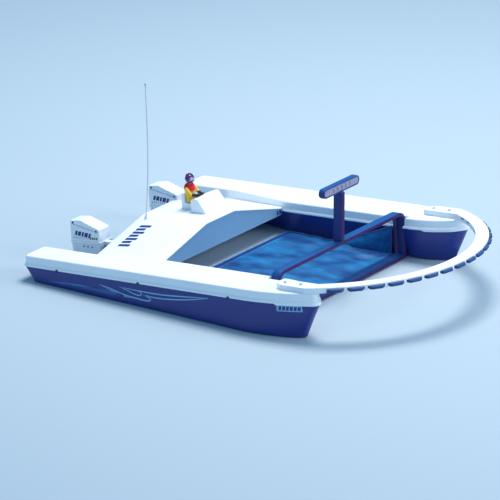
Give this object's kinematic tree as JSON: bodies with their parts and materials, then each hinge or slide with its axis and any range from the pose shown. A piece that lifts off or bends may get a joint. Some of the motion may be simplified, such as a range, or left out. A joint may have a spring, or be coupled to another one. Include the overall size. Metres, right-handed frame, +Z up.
{
  "type": "twin-hull radio-controlled skimmer boat",
  "caption": "Twin-hull toy boat with a bridge, driver figure, ducted outboards, lift-out net between the hulls and a curved bow bumper.",
  "frame": {"origin": "on the plane that the hull bottoms rest on, under the centre of the boat's overall box", "axes": "+X forward from the outboards to the bow bumper, +Y to port, +Z up"},
  "size_m": [0.7538, 0.5652, 0.3281],
  "materials": {
    "hull_blue": "glossy navy moulding",
    "deck_white": "glossy white moulding",
    "housing_white": "glossy pale moulding",
    "tray_blue": "satin mid-blue moulding",
    "frame_blue": "glossy blue moulding",
    "rim_purple": "satin dark purple",
    "plate_grey": "satin pinkish grey plate",
    "net_mesh": "fine translucent blue mesh",
    "rod_blue": "satin",
    "bumper_rubber": "matt navy rubber",
    "black_plastic": "matt black",
    "seal_rubber": "matt black rubber",
    "foam_white": "closed-cell foam",
    "steel": "plain steel",
    "brass": "plain brass",
    "cell_wrap": "plastic sleeve",
    "board_green": "circuit board",
    "propeller_blue": "moulded nylon",
    "suit_yellow": "painted figure",
    "vest_red": "painted figure",
    "skin_tone": "painted figure",
    "helmet_purple": "glossy paint",
    "visor_clear": "tinted clear plastic"
  },
  "bodies": {
    "boat": {"antenna_base": "housing_white", "antenna_whip": "steel", "battery_cells": "cell_wrap", "battery_contacts": "steel", "battery_door": "tray_blue", "battery_door_seal": "seal_rubber", "battery_holder": "black_plastic", "bridge_cover": "deck_white", "bridge_tray": "tray_blue", "bumper_blocks": "bumper_rubber", "bumper_rail": "deck_white", "console": "deck_white", "cowl_screws": "black_plastic", "deck_clips": "black_plastic", "drain_plugs": "seal_rubber", "driver_body": "suit_yellow", "driver_head": "skin_tone", "driver_helmet": "helmet_purple", "driver_port_arm": "suit_yellow", "driver_seat": "deck_white", "driver_starboard_arm": "suit_yellow", "driver_vest": "vest_red", "driver_visor": "visor_clear", "foam_floats": "foam_white", "panhead_screws": "steel", "port_deck": "deck_white", "port_hull": "hull_blue", "port_inlet_grille": "black_plastic", "port_lower_unit": "housing_white", "port_motor": "steel", "port_outboard_bracket": "housing_white", "port_outboard_cowl": "deck_white", "port_shaft_bush": "brass", "receiver_board": "board_green", "starboard_deck": "deck_white", "starboard_hull": "hull_blue", "starboard_inlet_grille": "black_plastic", "starboard_lower_unit": "housing_white", "starboard_motor": "steel", "starboard_outboard_bracket": "housing_white", "starboard_outboard_cowl": "deck_white", "starboard_shaft_bush": "brass", "steering_wheel": "black_plastic", "switch_body": "black_plastic", "switch_plate": "black_plastic"},
    "net": {"net_frame": "frame_blue", "net_rim": "rim_purple", "net_grip": "frame_blue", "net_grip_plate": "plate_grey", "net_bag": "net_mesh", "net_tail_rod": "rod_blue"},
    "switch": {"switch_knob": "black_plastic"},
    "starboard_screw": {"starboard_prop_shaft": "steel", "starboard_propeller": "propeller_blue", "starboard_prop_nut": "steel"},
    "starboard_drive": {"starboard_drive_shaft": "steel"},
    "port_screw": {"port_prop_shaft": "steel", "port_propeller": "propeller_blue", "port_prop_nut": "steel"},
    "port_drive": {"port_drive_shaft": "steel"}
  },
  "joints": [
    {"name": "net_lift", "type": "slide", "parent": "boat", "child": "net", "axis": [-0.0663, 0, 0.9978], "range_m": [0, 0.09]},
    {"name": "power_switch_slide", "type": "slide", "parent": "boat", "child": "switch", "axis": [0.9978, 0, 0.0663], "range_m": [0, 0.005]},
    {"name": "starboard_propeller_spin", "type": "hinge", "parent": "boat", "child": "starboard_screw", "pos_m": [-0.35977, -0.121, 0.01703], "axis": [0.9978, 0, 0.0663], "continuous": true},
    {"name": "starboard_drive_spin", "type": "hinge", "parent": "boat", "child": "starboard_drive", "pos_m": [-0.33655, -0.121, 0.02959], "axis": [-0.0663, 0, 0.9978], "continuous": true},
    {"name": "port_propeller_spin", "type": "hinge", "parent": "boat", "child": "port_screw", "pos_m": [-0.35977, 0.121, 0.01703], "axis": [0.9978, 0, 0.0663], "continuous": true},
    {"name": "port_drive_spin", "type": "hinge", "parent": "boat", "child": "port_drive", "pos_m": [-0.33655, 0.121, 0.02959], "axis": [-0.0663, 0, 0.9978], "continuous": true}
  ],
  "couplings": [
    {"joint": "starboard_drive_spin", "follows": "starboard_propeller_spin", "ratio": 1.2},
    {"joint": "port_drive_spin", "follows": "port_propeller_spin", "ratio": 1.2}
  ]
}
